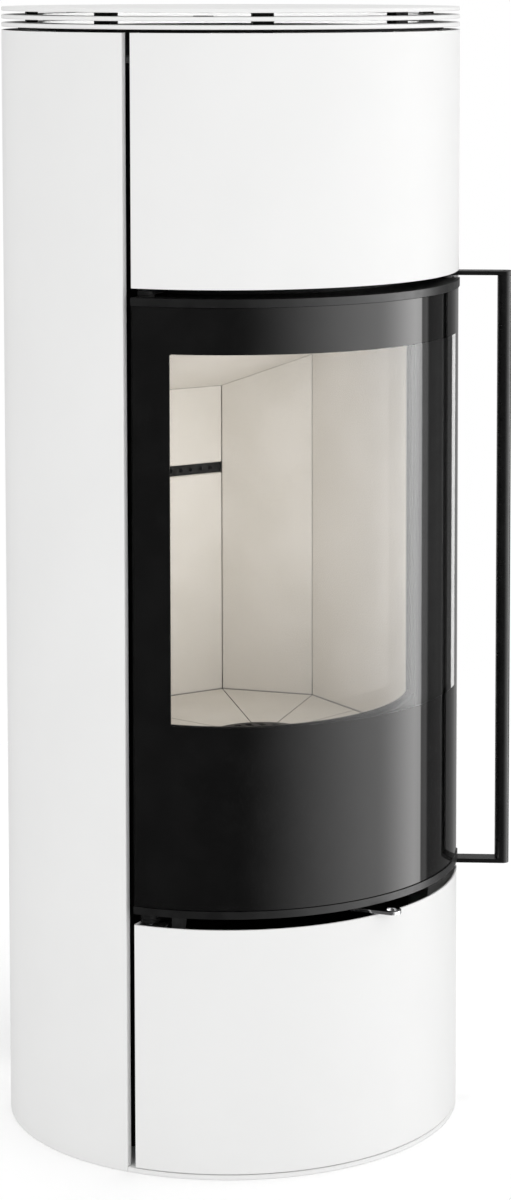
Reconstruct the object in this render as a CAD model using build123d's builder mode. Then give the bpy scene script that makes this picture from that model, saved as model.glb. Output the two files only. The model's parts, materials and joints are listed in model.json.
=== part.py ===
from build123d import *

import os
from math import atan2, cos, degrees, radians, sin, sqrt

os.makedirs("parts", exist_ok=True)

# Round wood stove, in millimetres and degrees. It stands on z = 0 with its axis on z and faces -y.
# Plan angles are measured from the front and grow towards +x, the viewer's right.

# ---------------------------------------------------------------- white cladding
clad_radius = 250.0  # outside of every white panel
clad_sheet = 2.0
clad_edge_round = 1.4  # outer edge round of the folded panels
front_half_angle = 55.6  # half of the arc that the door and the front panels cover
side_slot = 9.0  # upright slot between the front and a side panel, along the arc
side_return = 8.0  # depth of a side panel's front edge
lower_return = 32.0  # depth of the lower door's upright returns
upper_return = 20.0  # depth of the upper panel's upright returns
rear_half_angle = 30.0  # half of the arc that the flat back cuts off
rear_flange = 22.0  # flat flange that carries the rear sheet
rear_sheet = 1.5
flange_lap = 0.5  # how far a rear flange stays inside the panel's corner

# ---------------------------------------------------------------- heights, stacked from the floor
base_thick = 5.0
base_fit = 0.3  # between the base plate and the side panels that stand round it
foot_gap = 1.0  # under the lower door and the rear sheet
lower_door_height = 262.0
lever_gap = 12.0  # between the two doors
bottom_rim_height = 8.0
glass_height = 632.0
top_rim_height = 8.5
upper_gap = 9.5
upper_panel_height = 262.0
crown_gap = 3.5
plate_thick = 4.5
plate_gap = 4.0
crown_chamber = 33.0  # from the casing's top to the crown's frame

# ---------------------------------------------------------------- casing
casing_cavity = 53.0  # from the panels' outside to the casing's outside
casing_sheet = 3.0
opening_margin_angle = 5.0  # degrees from a door's edge to the edge of the opening behind it
weld_gap = 0.3  # inner plates to the casing
bay_floor_drop = 1.0  # the ash bay's floor lies this far below the stove door's lower edge
apron_height = 21.0  # from the bay floor's underside to the ash pan's front
pan_front_height = 101.0
pan_gap = 0.4
sill_height = 70.0  # from the firebox floor plate's underside
lintel_drop = 30.0  # the opening's top lies this far below the outer glass's top
shelf_rise = 85.0  # from the opening's top to the smoke shelf
shelf_gap = 50.0  # gas way behind the smoke shelf
bracket_width = 26.0
bracket_thick = 3.0
bracket_leg = 22.0
bracket_margin = 40.0  # from a panel's end to the bracket nearest it
side_bracket_angles = (70.0, 100.0, 130.0)
front_bracket_angles = (25.0,)
levelling_inset = 27.0  # from the casing's outside to a screw's axis
levelling_count = 4
levelling_stud = 5.0  # radius
levelling_head = 8.5
levelling_head_height = 7.0

# ---------------------------------------------------------------- firebox lining
brick_thick = 20.0
brick_joint = 0.8
brick_round = 3.0  # edges of the slot in the back wall
side_wall_space = 24.0  # from the casing to the back of a side brick
back_wall_space = 19.0  # from the casing to the back of the back wall
back_corner_space = 4.73  # from the casing to the back wall's rear corners, along x
corner_depth = 84.0  # how far a corner brick reaches along y
floor_seam_inset = 89.0  # from a corner brick to the foremost floor seam, along the side wall
floor_brick_thick = 23.0
back_wall_drop = 105.0  # the back wall's top lies this far below the opening's top
air_slot_drop = 102.0  # the slot's lower edge lies this far below the back wall's top
air_slot = 12.0
baffle_slope = 25.6
baffle_reach = 215.0  # from the back wall to the baffle's front edge
baffle_thick = 20.0
baffle_bearing = 15.0  # how far the baffle lies on the walls
grate_reach = 217.0  # from the back wall to the grate's centre
grate_radius = 60.0
grate_thick = 10.0
grate_rim = 6.0
grate_slot = 7.0
grate_pitch = 13.0
grate_slots = 7
grate_ledge = 8.0  # width of the floor plate under the grate's rim
air_bar_depth = 16.0
air_bar_recess = 4.0
air_hole = 2.5  # radius
air_hole_pitch = 13.0
duct_half_width = 45.0
duct_depth = 10.0
duct_sheet = 1.5
pan_half_width = 95.0
pan_space = 75.0  # from the pan's rear wall to the plane of the back wall
pan_height = 92.0
pan_sheet = 1.5

# ---------------------------------------------------------------- flue and combustion air
flue_drop = 84.5  # from the casing's top plate to the flue's axis
flue_radius = 74.5
flue_sheet = 2.0
flue_reach = 72.0  # beyond the rear sheet
pipe_collar = 3.0  # how much thicker each pipe is up to the rear sheet's face
inlet_height = 150.0
inlet_radius = 50.0
inlet_sheet = 2.0
inlet_reach = 45.0
pipe_clearance = 3.0  # rear sheet around the pipes' collars
vent_slot_length = 60.0
vent_slot_width = 6.0
vent_slot_pitch = 14.0
vent_slot_rows = 5
vent_column_pitch = 84.0
vent_above_inlet = 203.0
vent_below_flue = 227.0
rear_screw = 2.0  # radius
rear_screw_head = 4.0
rear_screw_rows = 4
rear_screw_margin = 40.0

# ---------------------------------------------------------------- crown
vent_ring_width = 45.0
plate_edge_break = 0.8
frame_ring_inset = 18.0  # from the plates' edge to the frame ring's
frame_ring_width = 27.0
frame_ring_thick = 3.0
frame_arm_width = 16.0
frame_arm_lap = 6.0
post_radius = 6.0
post_inset = 23.0  # from the casing's outside to a post's axis
post_count = 4
spacer_length = 22.0
spacer_width = 12.0
spacer_inset = 32.0  # from the plates' edge to a spacer's middle
spacer_count = 8

# ---------------------------------------------------------------- door
glass_thick = 4.0
rim_proud = 1.0
rim_sheet = 3.0
frame_glass_gap = 3.0  # between the stiles and the outer glass
frame_gap = 4.0  # casing to the door frame's inner face
frame_sheet = 2.0
stile_edge = 0.25  # the stiles end this many degrees inside the glass edge
sill_lap = 5.0  # the door's lower panel ends this far below the sill's top
inner_glass_low_lap = 26.0  # how far the inner glass stands behind the lower panel
inner_glass_high_lap = 22.0  # how far it reaches above the opening
inner_glass_bearing = 2.0  # degrees that the inner glass laps over each stile
glass_seat = 0.3
gasket_width = 7.0
gasket_gap = 0.3
hinge_edge_angle = 2.6  # degrees from the doors' left edge to the hinge axis
hinge_inset = 14.5  # from the panels' outside to the hinge axis
pin_radius = 4.0
pin_clearance = 0.05
knuckle_radius = 9.0
hinge_arm_thick = 4.0
hinge_gap = 0.4  # between a bracket and the bush beside it
hinge_headroom = 3.0  # above the upper bracket
pin_length = 30.0  # how far a pin stands into the stove door
lower_pin_length = 15.0  # how far a pin stands into the lower door

# ---------------------------------------------------------------- handle
handle_edge_angle = 1.2  # degrees from the door's right edge to the handle
handle_reach = 50.0  # from the glass's outside to the bar's centre
handle_bar_depth = 15.6
handle_bar_width = 20.0
handle_bar_round = 7.0
handle_arm_thick = 4.5
handle_arm_width = 20.0
handle_arm_depth = 28.0  # how far the arms reach in under the door's edge
handle_top_spacer = 3.5
handle_screw = 3.0
handle_screw_head = 5.5
handle_screw_head_height = 2.2
handle_screw_depth = 15.0  # into the bar

# ---------------------------------------------------------------- air lever
lever_pivot_reach = 1.0  # from the casing's outside to the lever's pivot
lever_rest_angle = 35.4  # from the front, to the right
lever_length = 72.0  # pivot to the centre of the tip
lever_width = 20.0
lever_thick = 3.5
lever_hole = 5.5
lever_eye = 13.0
damper_thick = 2.5
damper_radius = 58.0
damper_half_angle = 72.0
port_radius = 5.0
port_circle = 44.0
port_pitch = 28.0
lever_pin = 4.0
lever_pin_head = 8.0
lever_pin_head_height = 2.8
bearing_gap = 0.3
lever_bracket_overhang = 15.0  # in front of the casing
lever_bracket_depth = 94.0
lever_bracket_width = 132.0
lever_bracket_thick = 2.5

# ---------------------------------------------------------------- catches and lower door fittings
ear_thick = 2.5
ear_width = 24.0
ear_angle = 6.5  # degrees that an ear spans
magnet_rise = 124.0  # from the lower door's lower edge
magnet_size = 28.0
magnet_gap = 0.5
magnet_angle = 3.6  # degrees that the magnet spans
catch_rise = 312.0  # from the glass's lower edge
catch_size = 36.0
catch_nose_height = 12.0
catch_thick = 4.0
catch_reach = 30.0
catch_nose = 2.0  # radius of the sprung nose
catch_gap = 0.4  # degrees from the door's edge

# ---------------------------------------------------------------- worked out from the values above
lower_bottom = base_thick + foot_gap
lower_top = lower_bottom + lower_door_height
door_bottom = lower_top + lever_gap
glass_bottom = door_bottom + bottom_rim_height
glass_top = glass_bottom + glass_height
door_top = glass_top + top_rim_height
upper_bottom = door_top + upper_gap
clad_top = upper_bottom + upper_panel_height
vent_lower = clad_top + crown_gap
vent_upper = vent_lower + plate_thick + plate_gap
crown_top_plate = vent_upper + plate_thick + plate_gap
frame_ring_bottom = vent_lower - frame_ring_thick
casing_top = frame_ring_bottom - crown_chamber
wall_top = casing_top - casing_sheet

bay_floor_height = door_bottom - bay_floor_drop
pan_floor = bay_floor_height + casing_sheet
pan_front_bottom = bay_floor_height + apron_height
floor_plate_height = pan_front_bottom + pan_front_height
brick_bottom = floor_plate_height + casing_sheet
hearth = brick_bottom + floor_brick_thick
sill_top = floor_plate_height + sill_height
lower_panel_top = sill_top - sill_lap
glass_ledge = lower_panel_top - inner_glass_low_lap
lintel_bottom = glass_top - lintel_drop
inner_glass_top = lintel_bottom + inner_glass_high_lap
shelf_height = lintel_bottom + shelf_rise
back_wall_top = lintel_bottom - back_wall_drop
air_slot_height = back_wall_top - air_slot_drop
flue_height = wall_top - flue_drop

casing_radius = clad_radius - casing_cavity
casing_inner = casing_radius - casing_sheet
plate_radius = casing_inner - weld_gap
frame_inner = casing_radius + frame_gap
frame_outer = clad_radius - glass_thick - frame_glass_gap
levelling_circle = casing_radius - levelling_inset
hinge_radius = clad_radius - hinge_inset
handle_bar_radius = clad_radius + handle_reach
handle_arm_root = clad_radius - handle_arm_depth
back_y = clad_radius * cos(radians(rear_half_angle))
back_half = clad_radius * sin(radians(rear_half_angle))
rear_face = back_y + rear_sheet

side_start = front_half_angle + degrees(side_slot / clad_radius)
side_end = 180 - rear_half_angle
casing_half_angle = front_half_angle - opening_margin_angle
stile_end = front_half_angle - stile_edge
hinge_angle = hinge_edge_angle - front_half_angle
handle_angle = front_half_angle - handle_edge_angle

firebox_half_width = casing_inner - side_wall_space - brick_thick
firebox_back = casing_inner - back_wall_space - brick_thick
back_half_width = sqrt(casing_inner**2 - (firebox_back + brick_thick) ** 2) - back_corner_space
corner_start = firebox_back - corner_depth
floor_seam_start = corner_start - floor_seam_inset
grate_y = firebox_back - grate_reach
baffle_front = firebox_back - baffle_reach
shelf_rear = firebox_back - shelf_gap
pan_rear = firebox_back - pan_space

lever_pivot_y = -casing_radius - lever_pivot_reach
lever_bracket_bottom = bay_floor_height - lever_bracket_thick
damper_bottom = lever_bracket_bottom - bearing_gap - damper_thick
lever_bottom = damper_bottom - lever_thick


def plan(radius, angle):
    """Plan point at a radius and a plan angle."""
    return (radius * sin(radians(angle)), -radius * cos(radians(angle)))


def arc_angle(length, radius):
    """Plan angle that an arc length takes up at a radius."""
    return degrees(length / radius)


hinge_point = plan(hinge_radius, hinge_angle)


class RingSector(BaseSketchObject):
    """Flat ring segment about the stove's axis, between two radii and two plan angles."""

    def __init__(self, inner, outer, start, end, mode=Mode.ADD):
        with BuildSketch() as sector:
            with BuildLine():
                outside = CenterArc((0, 0), outer, start - 90, end - start)
                inside = CenterArc((0, 0), inner, start - 90, end - start)
                Line(outside @ 0, inside @ 0)
                Line(outside @ 1, inside @ 1)
            make_face()
        super().__init__(obj=sector.sketch, rotation=0, align=None, mode=mode)


class RadialBar(BaseSketchObject):
    """Rectangle that runs outwards along a plan angle, from one radius to another."""

    def __init__(self, inner, outer, width, angle, mode=Mode.ADD):
        with BuildSketch() as bar:
            with PolarLocations(inner, 1, start_angle=angle - 90):
                Rectangle(outer - inner, width, align=(Align.MIN, Align.CENTER))
        super().__init__(obj=bar.sketch, rotation=0, align=None, mode=mode)


# ================================================================ base
base_front_half = side_start - arc_angle(base_fit, clad_radius)

with BuildPart() as base_plate:
    with BuildSketch():
        Circle(clad_radius - side_return - base_fit)
        RingSector(casing_radius, clad_radius, -base_front_half, base_front_half)
        with Locations((0, back_y - clad_sheet - base_fit)):
            Rectangle(2 * clad_radius, clad_radius, align=(Align.CENTER, Align.MIN), mode=Mode.SUBTRACT)
        with PolarLocations(levelling_circle, levelling_count, start_angle=180 / levelling_count):
            Circle(levelling_stud + pin_clearance, mode=Mode.SUBTRACT)
        with Locations(hinge_point):
            Circle(pin_radius + pin_clearance, mode=Mode.SUBTRACT)
    extrude(amount=base_thick)
    upper_arcs = base_plate.edges().filter_by(GeomType.CIRCLE).group_by(Axis.Z)[-1]
    chamfer(upper_arcs.filter_by(lambda arc: arc.radius > clad_radius - clad_sheet), plate_edge_break)

with BuildPart() as levelling_screws:
    with BuildSketch():
        with PolarLocations(levelling_circle, levelling_count, start_angle=180 / levelling_count):
            Circle(levelling_stud)
    extrude(amount=base_thick)
    with BuildSketch(Plane.XY.offset(base_thick)):
        with PolarLocations(levelling_circle, levelling_count, start_angle=180 / levelling_count):
            RegularPolygon(levelling_head, 6)
    extrude(amount=levelling_head_height)

# ================================================================ inner casing
with BuildPart() as casing_left:
    with BuildSketch(Plane.XY.offset(base_thick)):
        RingSector(casing_inner, casing_radius, -side_end, -casing_half_angle)
    extrude(amount=wall_top - base_thick)

with BuildPart() as casing_right:
    with BuildSketch(Plane.XY.offset(base_thick)):
        RingSector(casing_inner, casing_radius, casing_half_angle, side_end)
    extrude(amount=wall_top - base_thick)

with BuildPart() as casing_rear:
    with BuildSketch(Plane.XY.offset(base_thick)):
        RingSector(casing_inner, casing_radius, side_end, 360 - side_end)
    extrude(amount=wall_top - base_thick)
    with BuildSketch(Plane.XZ.offset(-casing_inner / 2)):
        with Locations((0, flue_height)):
            Circle(flue_radius + pipe_collar + pin_clearance)
        with Locations((0, inlet_height)):
            Circle(inlet_radius + pipe_collar + pin_clearance)
    extrude(amount=-casing_radius, mode=Mode.SUBTRACT)

with BuildPart() as casing_front_upper:
    with BuildSketch(Plane.XY.offset(lintel_bottom)):
        RingSector(casing_inner, casing_radius, -casing_half_angle, casing_half_angle)
    extrude(amount=wall_top - lintel_bottom)

with BuildPart() as sill_plate:
    with BuildSketch(Plane.XY.offset(floor_plate_height)):
        RingSector(casing_inner, casing_radius, -casing_half_angle, casing_half_angle)
    extrude(amount=sill_top - floor_plate_height)

with BuildPart() as apron_plate:
    with BuildSketch(Plane.XY.offset(bay_floor_height)):
        RingSector(casing_inner, casing_radius, -casing_half_angle, casing_half_angle)
    extrude(amount=apron_height)

# The bay floor, like the lever bracket below it, has the ports that the air damper opens and shuts.
with BuildPart() as bay_floor:
    with BuildSketch(Plane.XY.offset(bay_floor_height)):
        Circle(plate_radius)
        with Locations((0, lever_pivot_y)):
            with PolarLocations(port_circle, 3, start_angle=90 - port_pitch, angular_range=3 * port_pitch):
                Circle(port_radius, mode=Mode.SUBTRACT)
    extrude(amount=casing_sheet)

with BuildPart() as firebox_floor_plate:
    with BuildSketch(Plane.XY.offset(floor_plate_height)):
        Circle(plate_radius)
        with Locations((0, grate_y)):
            Circle(grate_radius - grate_ledge, mode=Mode.SUBTRACT)
    extrude(amount=casing_sheet)

with BuildPart() as casing_top_plate:
    with BuildSketch(Plane.XY.offset(wall_top)):
        Circle(casing_radius)
    extrude(amount=casing_sheet)

with BuildPart() as smoke_shelf:
    with BuildSketch(Plane.XY.offset(shelf_height)):
        Circle(plate_radius)
        with Locations((0, shelf_rear)):
            Rectangle(2 * clad_radius, clad_radius, align=(Align.CENTER, Align.MIN), mode=Mode.SUBTRACT)
    extrude(amount=casing_sheet)
    with BuildSketch(Plane.XY.offset(shelf_height - brick_thick)):
        with Locations((0, shelf_rear)):
            Rectangle(2 * firebox_half_width, casing_sheet, align=(Align.CENTER, Align.MAX))
    extrude(amount=brick_thick)

# ================================================================ firebox lining
wall_line = [
    Vector(-firebox_half_width, -clad_radius),
    Vector(-firebox_half_width, corner_start),
    Vector(-back_half_width, firebox_back),
    Vector(back_half_width, firebox_back),
    Vector(firebox_half_width, corner_start),
    Vector(firebox_half_width, -clad_radius),
]


def behind_corner(before, corner, after, depth):
    """Point behind a wall corner, on its mitre, at the given depth from both walls."""
    first = (corner - before).normalized().rotate(Axis.Z, 90)
    second = (after - corner).normalized().rotate(Axis.Z, 90)
    mitre = (first + second).normalized()
    return corner + mitre * (depth / mitre.dot(first))


def behind_end(start, end, depth):
    """Point behind the start of a straight wall."""
    return start + (end - start).normalized().rotate(Axis.Z, 90) * depth


class WallBrick(BaseSketchObject):
    """Plan of the lining brick behind one stretch of the wall line, short of its joints."""

    def __init__(self, index, mode=Mode.ADD):
        start, end = wall_line[index], wall_line[index + 1]
        if index == 0:
            outer_start = behind_end(start, end, brick_thick)
        else:
            outer_start = behind_corner(wall_line[index - 1], start, end, brick_thick)
        if index == len(wall_line) - 2:
            outer_end = behind_end(end, 2 * end - start, brick_thick)
        else:
            outer_end = behind_corner(start, end, wall_line[index + 2], brick_thick)
        with BuildSketch() as brick:
            Polygon(start, end, outer_end, outer_start, align=None)
            offset(amount=-brick_joint / 2, kind=Kind.INTERSECTION)
            Circle(plate_radius, mode=Mode.INTERSECT)
        super().__init__(obj=brick.sketch, rotation=0, align=None, mode=mode)


# The baffle's underside starts at the top of the back wall and climbs towards the front.
baffle_plane = Plane(
    origin=(0, firebox_back, back_wall_top),
    x_dir=(1, 0, 0),
    z_dir=(0, sin(radians(baffle_slope)), cos(radians(baffle_slope))),
)

with BuildPart() as back_brick_lower:
    with BuildSketch(Plane.XY.offset(brick_bottom)):
        WallBrick(2)
    extrude(amount=air_slot_height - brick_bottom)
    face_edge = back_brick_lower.edges().group_by(Axis.Z)[-1].sort_by(Axis.Y)[0]
    fillet(face_edge, brick_round)

with BuildPart() as back_brick_upper:
    with BuildSketch(Plane.XY.offset(air_slot_height + air_slot)):
        WallBrick(2)
    extrude(amount=lintel_bottom - air_slot_height)
    split(bisect_by=baffle_plane, keep=Keep.BOTTOM)
    face_edge = back_brick_upper.edges().group_by(Axis.Z)[0].sort_by(Axis.Y)[0]
    fillet(face_edge, brick_round)

with BuildPart() as corner_brick_left:
    with BuildSketch(Plane.XY.offset(brick_bottom)):
        WallBrick(1)
    extrude(amount=shelf_height - brick_bottom)
    split(bisect_by=baffle_plane, keep=Keep.BOTTOM)

with BuildPart() as corner_brick_right:
    mirror(corner_brick_left.part, about=Plane.YZ)

with BuildPart() as side_brick_left:
    with BuildSketch(Plane.XY.offset(brick_bottom)):
        WallBrick(0)
    extrude(amount=shelf_height - brick_bottom)
    split(bisect_by=baffle_plane, keep=Keep.BOTTOM)

with BuildPart() as side_brick_right:
    mirror(side_brick_left.part, about=Plane.YZ)

# Floor bricks lie between the walls, cut by seams that run to the grate.
floor_seams = [(back_half_width, firebox_back), (firebox_half_width, corner_start),
               (firebox_half_width, floor_seam_start)]

with BuildPart() as floor_bricks:
    with BuildSketch(Plane.XY.offset(brick_bottom)):
        Polygon(*wall_line, align=None)
        offset(amount=-brick_joint / 2, kind=Kind.INTERSECTION)
        Circle(plate_radius, mode=Mode.INTERSECT)
        with Locations((0, grate_y)):
            Circle(grate_radius + brick_joint, mode=Mode.SUBTRACT)
        for seam_x, seam_y in floor_seams:
            for side in (1, -1):
                turn = degrees(atan2(seam_y - grate_y, side * seam_x))
                with Locations(Location((0, grate_y, 0), (0, 0, turn))):
                    Rectangle(clad_radius, brick_joint, align=(Align.MIN, Align.CENTER), mode=Mode.SUBTRACT)
    extrude(amount=floor_brick_thick)

with BuildPart() as baffle_plate:
    with BuildSketch(Plane.XY.offset(back_wall_top - baffle_thick)):
        Polygon(*wall_line, align=None)
        offset(amount=baffle_bearing, kind=Kind.INTERSECTION)
        Circle(plate_radius, mode=Mode.INTERSECT)
        with Locations((0, baffle_front)):
            Rectangle(2 * clad_radius, clad_radius, align=(Align.CENTER, Align.MAX), mode=Mode.SUBTRACT)
    extrude(amount=shelf_height - back_wall_top)
    split(bisect_by=baffle_plane, keep=Keep.TOP)
    split(bisect_by=baffle_plane.offset(baffle_thick), keep=Keep.BOTTOM)

# Round cast grate: a slotted plate on a deep rim that stands on the floor plate's ledge.
with BuildPart() as grate:
    with BuildSketch(Plane.XY.offset(hearth - grate_thick)):
        with Locations((0, grate_y)):
            Circle(grate_radius)
            with GridLocations(grate_pitch, 0, grate_slots, 1):
                SlotOverall(2 * grate_radius, grate_slot, rotation=90, mode=Mode.SUBTRACT)
    extrude(amount=grate_thick)
    with BuildSketch(Plane.XY.offset(brick_bottom)):
        with Locations((0, grate_y)):
            Circle(grate_radius)
            Circle(grate_radius - grate_rim, mode=Mode.SUBTRACT)
    extrude(amount=hearth - brick_bottom)

# Hollow perforated bar that feeds air through the slot in the back wall, on a flat duct from below.
with BuildPart() as rear_air_bar:
    with BuildSketch(Plane.XY.offset(air_slot_height)):
        with Locations((0, firebox_back + air_bar_recess)):
            Rectangle(2 * back_half_width, air_bar_depth, align=(Align.CENTER, Align.MIN))
    extrude(amount=air_slot)
    with BuildSketch(Plane.XY.offset(air_slot_height + duct_sheet)):
        with Locations((0, firebox_back + air_bar_recess + duct_sheet)):
            Rectangle(2 * (back_half_width - duct_sheet), air_bar_depth - 2 * duct_sheet,
                      align=(Align.CENTER, Align.MIN))
    extrude(amount=air_slot - 2 * duct_sheet, mode=Mode.SUBTRACT)
    with BuildSketch(Plane.XZ.offset(-firebox_back)):
        with Locations((0, air_slot_height + air_slot / 2)):
            with GridLocations(air_hole_pitch, 0, int(2 * back_half_width / air_hole_pitch) - 1, 1):
                Circle(air_hole)
    extrude(amount=-air_bar_recess - 2 * duct_sheet, mode=Mode.SUBTRACT)

with BuildPart() as rear_air_duct:
    with BuildSketch(Plane.XY.offset(brick_bottom)):
        with Locations((0, firebox_back + brick_thick)):
            Rectangle(2 * duct_half_width, duct_depth, align=(Align.CENTER, Align.MIN))
        with Locations((0, firebox_back + brick_thick + duct_sheet)):
            Rectangle(2 * (duct_half_width - duct_sheet), duct_depth - 2 * duct_sheet,
                      align=(Align.CENTER, Align.MIN), mode=Mode.SUBTRACT)
    extrude(amount=air_slot_height + air_slot - brick_bottom)

# Ash pan: an open tray whose bent front plate closes the bay.
with BuildPart() as ash_pan:
    pan_depth = pan_rear + clad_radius
    with BuildSketch(Plane.XY.offset(pan_floor)):
        with Locations((0, pan_rear)):
            Rectangle(2 * pan_half_width, pan_depth, align=(Align.CENTER, Align.MAX))
        Circle(casing_inner, mode=Mode.INTERSECT)
    extrude(amount=pan_height)
    with BuildSketch(Plane.XY.offset(pan_floor + pan_sheet)):
        with Locations((0, pan_rear - pan_sheet)):
            Rectangle(2 * (pan_half_width - pan_sheet), pan_depth, align=(Align.CENTER, Align.MAX))
        Circle(casing_inner - pan_sheet, mode=Mode.INTERSECT)
    extrude(amount=pan_height, mode=Mode.SUBTRACT)
    with BuildSketch(Plane.XY.offset(pan_front_bottom + pan_gap)):
        RingSector(casing_inner, casing_radius, pan_gap - casing_half_angle, casing_half_angle - pan_gap)
    extrude(amount=pan_front_height - 2 * pan_gap)

# ================================================================ flue and combustion air
# Each pipe starts at the casing and has a collar up to the rear sheet's face, where its free end begins.
flue_start = sqrt(casing_inner**2 - (flue_radius + pipe_collar) ** 2)
inlet_start = sqrt(casing_inner**2 - (inlet_radius + pipe_collar) ** 2)

with BuildPart() as flue_spigot:
    with BuildSketch(Plane.XZ.offset(-flue_start)):
        with Locations((0, flue_height)):
            Circle(flue_radius + pipe_collar)
    extrude(amount=flue_start - rear_face)
    with BuildSketch(Plane.XZ.offset(-rear_face)):
        with Locations((0, flue_height)):
            Circle(flue_radius)
    extrude(amount=-flue_reach)
    with BuildSketch(Plane.XZ.offset(-flue_start)):
        with Locations((0, flue_height)):
            Circle(flue_radius - flue_sheet)
    extrude(amount=flue_start - rear_face - flue_reach, mode=Mode.SUBTRACT)

with BuildPart() as air_inlet:
    with BuildSketch(Plane.XZ.offset(-inlet_start)):
        with Locations((0, inlet_height)):
            Circle(inlet_radius + pipe_collar)
    extrude(amount=inlet_start - rear_face)
    with BuildSketch(Plane.XZ.offset(-rear_face)):
        with Locations((0, inlet_height)):
            Circle(inlet_radius)
    extrude(amount=-inlet_reach)
    with BuildSketch(Plane.XZ.offset(-inlet_start)):
        with Locations((0, inlet_height)):
            Circle(inlet_radius - inlet_sheet)
    extrude(amount=inlet_start - rear_face - inlet_reach, mode=Mode.SUBTRACT)

# ================================================================ white cladding
flange_inner = back_half - rear_flange

with BuildPart() as side_panel_right:
    with BuildSketch():
        RingSector(clad_radius - clad_sheet, clad_radius, side_start, side_end)
        RingSector(clad_radius - side_return, clad_radius, side_start,
                   side_start + arc_angle(clad_sheet, clad_radius))
        with Locations((back_half - flange_lap, back_y)):
            Rectangle(rear_flange, clad_sheet, align=(Align.MAX, Align.MAX))
    extrude(amount=clad_top)
    outer_edge = side_panel_right.edges().filter_by(Axis.Z).sort_by(Axis.Y)[0]
    fillet(outer_edge, clad_edge_round)

with BuildPart() as side_panel_left:
    mirror(side_panel_right.part, about=Plane.YZ)

with BuildPart() as upper_front_panel:
    with BuildSketch(Plane.XY.offset(upper_bottom)):
        RingSector(clad_radius - clad_sheet, clad_radius, -front_half_angle, front_half_angle)
        for end in (-front_half_angle, front_half_angle - arc_angle(clad_sheet, clad_radius)):
            RingSector(clad_radius - upper_return, clad_radius, end, end + arc_angle(clad_sheet, clad_radius))
    extrude(amount=upper_panel_height)
    fillet(upper_front_panel.edges().filter_by(Axis.Z).sort_by(Axis.X)[0], clad_edge_round)
    fillet(upper_front_panel.edges().filter_by(Axis.Z).sort_by(Axis.X)[-1], clad_edge_round)
    with BuildSketch(Plane.XY.offset(upper_bottom)):
        RingSector(clad_radius - upper_return, clad_radius - clad_sheet, -front_half_angle, front_half_angle)
    extrude(amount=clad_sheet)

# ================================================================ brackets between casing and panels
lowest_bracket = lower_bottom + bracket_margin
highest_bracket = clad_top - bracket_margin
bracket_rows = [
    (side_bracket_angles, (lowest_bracket, (lowest_bracket + highest_bracket) / 2, highest_bracket)),
    (front_bracket_angles, (upper_bottom + bracket_margin, highest_bracket)),
]

with BuildPart() as panel_brackets:
    for angles, levels in bracket_rows:
        for level in levels:
            for angle in angles:
                for side in (1, -1):
                    with BuildSketch(Plane.XY.offset(level)):
                        RadialBar(casing_radius - casing_sheet, clad_radius, bracket_width, side * angle)
                        Circle(casing_radius, mode=Mode.SUBTRACT)
                        Circle(clad_radius - clad_sheet, mode=Mode.INTERSECT)
                    extrude(amount=bracket_thick)
                    with BuildSketch(Plane.XY.offset(level - bracket_leg)):
                        half = arc_angle(bracket_width / 2, casing_radius)
                        RingSector(casing_radius, casing_radius + bracket_thick,
                                   side * angle - half, side * angle + half)
                    extrude(amount=bracket_leg)

# Flat rear sheet with holes for the pipes and two fields of vent slots.
rear_panel_half = flange_inner + rear_flange - clad_sheet
rear_screw_x = flange_inner + rear_flange / 2 - clad_sheet
rear_screw_pitch = (clad_top - lower_bottom - 2 * rear_screw_margin) / (rear_screw_rows - 1)
lowest_screw = lower_bottom + rear_screw_margin
rear_screw_levels = [lowest_screw + row * rear_screw_pitch for row in range(rear_screw_rows)]

with BuildPart() as rear_panel:
    with BuildSketch(Plane.XZ.offset(-back_y)):
        with Locations((0, lower_bottom)):
            Rectangle(2 * rear_panel_half, clad_top - lower_bottom, align=(Align.CENTER, Align.MIN))
        with Locations((0, flue_height)):
            Circle(flue_radius + pipe_collar + pipe_clearance, mode=Mode.SUBTRACT)
        with Locations((0, inlet_height)):
            Circle(inlet_radius + pipe_collar + pipe_clearance, mode=Mode.SUBTRACT)
        with Locations((0, inlet_height + vent_above_inlet), (0, flue_height - vent_below_flue)):
            with GridLocations(vent_column_pitch, vent_slot_pitch, 2, vent_slot_rows):
                SlotOverall(vent_slot_length, vent_slot_width, mode=Mode.SUBTRACT)
        for level in rear_screw_levels:
            with Locations((-rear_screw_x, level), (rear_screw_x, level)):
                Circle(rear_screw + pin_clearance, mode=Mode.SUBTRACT)
    extrude(amount=-rear_sheet)

with BuildPart() as rear_screws:
    for level in rear_screw_levels:
        with BuildSketch(Plane.XZ.offset(-back_y - rear_sheet)):
            with Locations((-rear_screw_x, level), (rear_screw_x, level)):
                Circle(rear_screw_head)
        extrude(amount=-rear_screw)
        with BuildSketch(Plane.XZ.offset(-back_y)):
            with Locations((-rear_screw_x, level), (rear_screw_x, level)):
                Circle(rear_screw)
        extrude(amount=-rear_sheet)

# ================================================================ crown
frame_ring_inner = clad_radius - frame_ring_inset - frame_ring_width
post_circle = casing_radius - post_inset
vent_hole = clad_radius - vent_ring_width

with BuildPart() as crown_frame:
    with BuildSketch(Plane.XY.offset(frame_ring_bottom)):
        Circle(clad_radius - frame_ring_inset)
        Circle(frame_ring_inner, mode=Mode.SUBTRACT)
        for post in range(post_count):
            RadialBar(post_circle - frame_arm_width / 2, frame_ring_inner + frame_arm_lap, frame_arm_width,
                      (post + 0.5) * 360 / post_count)
    extrude(amount=frame_ring_thick)
    with BuildSketch(Plane.XY.offset(casing_top)):
        with PolarLocations(post_circle, post_count, start_angle=180 / post_count):
            Circle(post_radius)
    extrude(amount=crown_chamber)

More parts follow.
